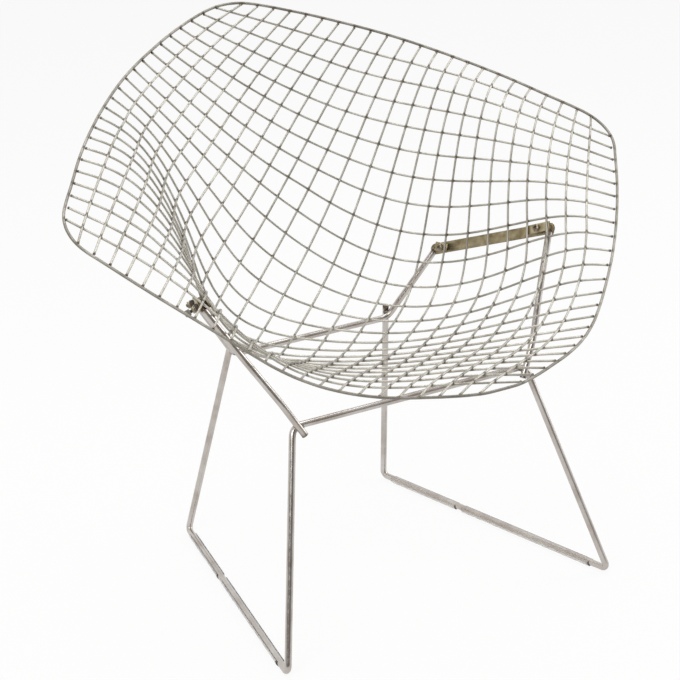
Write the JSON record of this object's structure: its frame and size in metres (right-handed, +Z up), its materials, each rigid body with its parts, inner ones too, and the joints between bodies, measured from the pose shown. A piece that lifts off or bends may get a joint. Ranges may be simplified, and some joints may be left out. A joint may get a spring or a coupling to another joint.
{
  "type": "wire mesh lounge chair",
  "caption": "Low lounge chair: a diamond-shaped basket seat of crossing welded wires, held by two flat side bars on a bent-rod sled base.",
  "frame": {"origin": "on the floor, under the centre of the bounding box", "axes": "+Z up; the sitter faces -Y; +X is on the right of someone who looks at the front"},
  "size_m": [0.8576, 0.6974, 0.7671],
  "materials": {
    "wire": "aged nickel plate, satin",
    "frame": "aged nickel plate, soft gloss",
    "flat_bar": "dulled yellowed plate",
    "bolt": "satin",
    "rubber": "matte",
    "clear_plastic": "clear, glossy"
  },
  "bodies": {
    "root": {"basket_tabs": "flat_bar", "bolt_end_caps": "rubber", "front_arm_left": "frame", "front_arm_right": "frame", "inner_wire_01": "wire", "inner_wire_02": "wire", "inner_wire_03": "wire", "inner_wire_04": "wire", "inner_wire_05": "wire", "inner_wire_06": "wire", "inner_wire_07": "wire", "inner_wire_08": "wire", "inner_wire_09": "wire", "inner_wire_10": "wire", "inner_wire_11": "wire", "inner_wire_12": "wire", "inner_wire_13": "wire", "inner_wire_14": "wire", "inner_wire_15": "wire", "inner_wire_16": "wire", "inner_wire_17": "wire", "inner_wire_18": "wire", "inner_wire_19": "wire", "inner_wire_20": "wire", "inner_wire_21": "wire", "inner_wire_22": "wire", "inner_wire_23": "wire", "mount_bolts": "bolt", "mount_nuts": "bolt", "mount_washers": "bolt", "outer_wire_01": "wire", "outer_wire_02": "wire", "outer_wire_03": "wire", "outer_wire_04": "wire", "outer_wire_05": "wire", "outer_wire_06": "wire", "outer_wire_07": "wire", "outer_wire_08": "wire", "outer_wire_09": "wire", "outer_wire_10": "wire", "outer_wire_11": "wire", "outer_wire_12": "wire", "outer_wire_13": "wire", "outer_wire_14": "wire", "outer_wire_15": "wire", "outer_wire_16": "wire", "outer_wire_17": "wire", "outer_wire_18": "wire", "outer_wire_19": "wire", "outer_wire_20": "wire", "outer_wire_21": "wire", "outer_wire_22": "wire", "outer_wire_23": "wire", "rear_cradle_rod": "frame", "rim_rod": "wire", "rubber_bushes": "rubber", "runner_glides": "clear_plastic", "side_bar_left": "flat_bar", "side_bar_right": "flat_bar", "sled_frame": "frame"}
  },
  "joints": []
}
